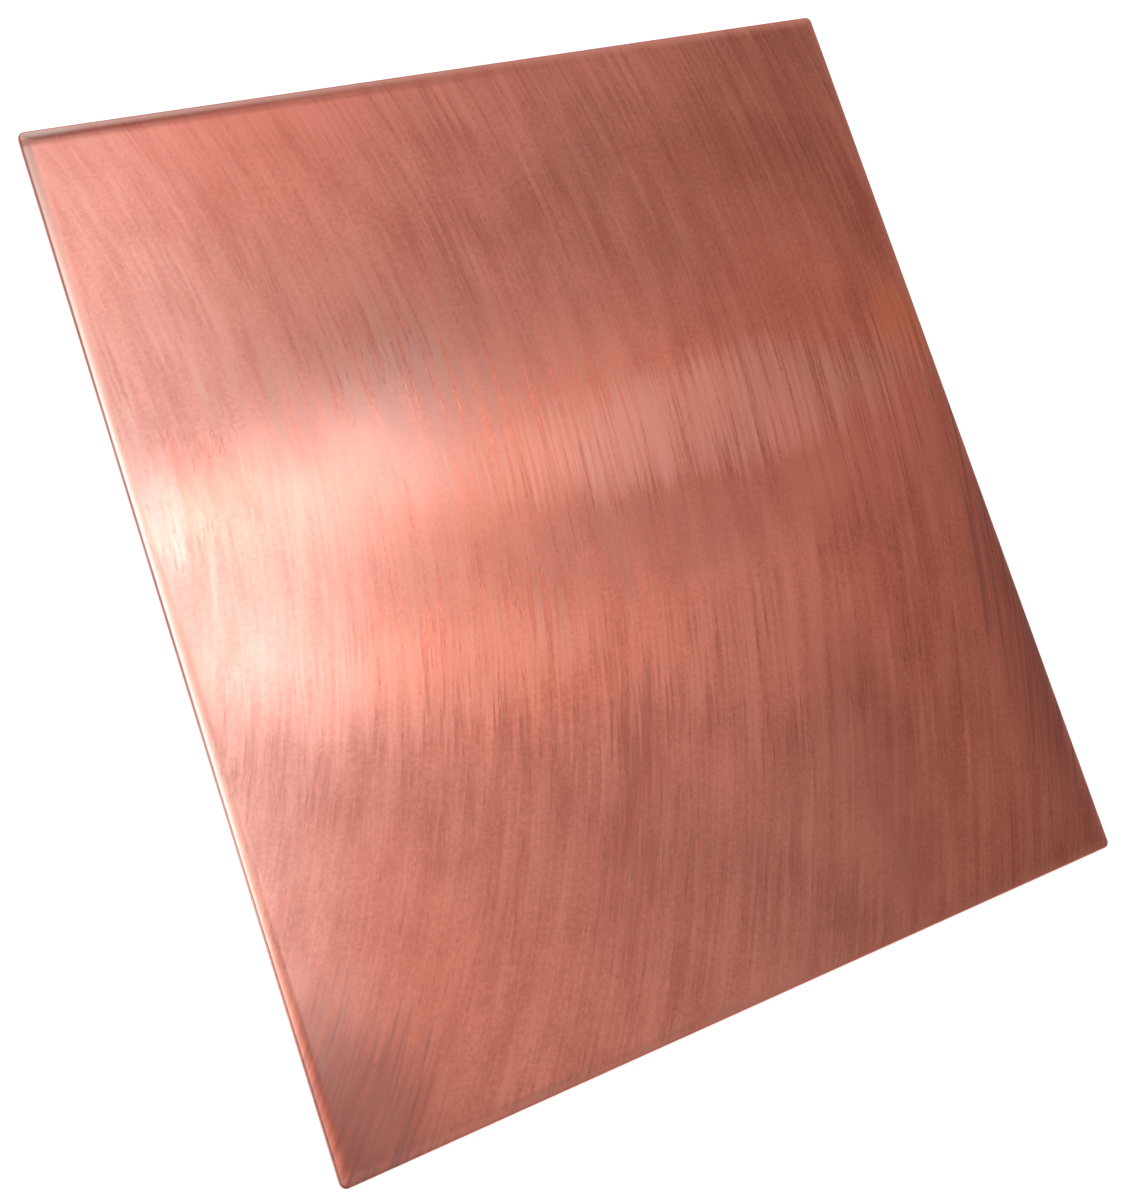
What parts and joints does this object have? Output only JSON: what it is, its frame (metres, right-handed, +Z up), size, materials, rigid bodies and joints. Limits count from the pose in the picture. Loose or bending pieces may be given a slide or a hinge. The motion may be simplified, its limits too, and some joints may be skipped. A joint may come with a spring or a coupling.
{
  "type": "copper plate",
  "caption": "Flat rectangular copper plate cut to size, brushed on its top face, with sheared and eased edges, for heat spreaders, bus bars and panels.",
  "frame": {"origin": "centre of the underside", "axes": "+Z up, from the underside to the brushed top face; +Y along the brush strokes and the plate's length; +X across them"},
  "size_m": [0.2, 0.225, 0.003],
  "materials": {
    "brushed_copper": null
  },
  "bodies": {
    "root": {"copper_plate": "brushed_copper"}
  },
  "joints": []
}
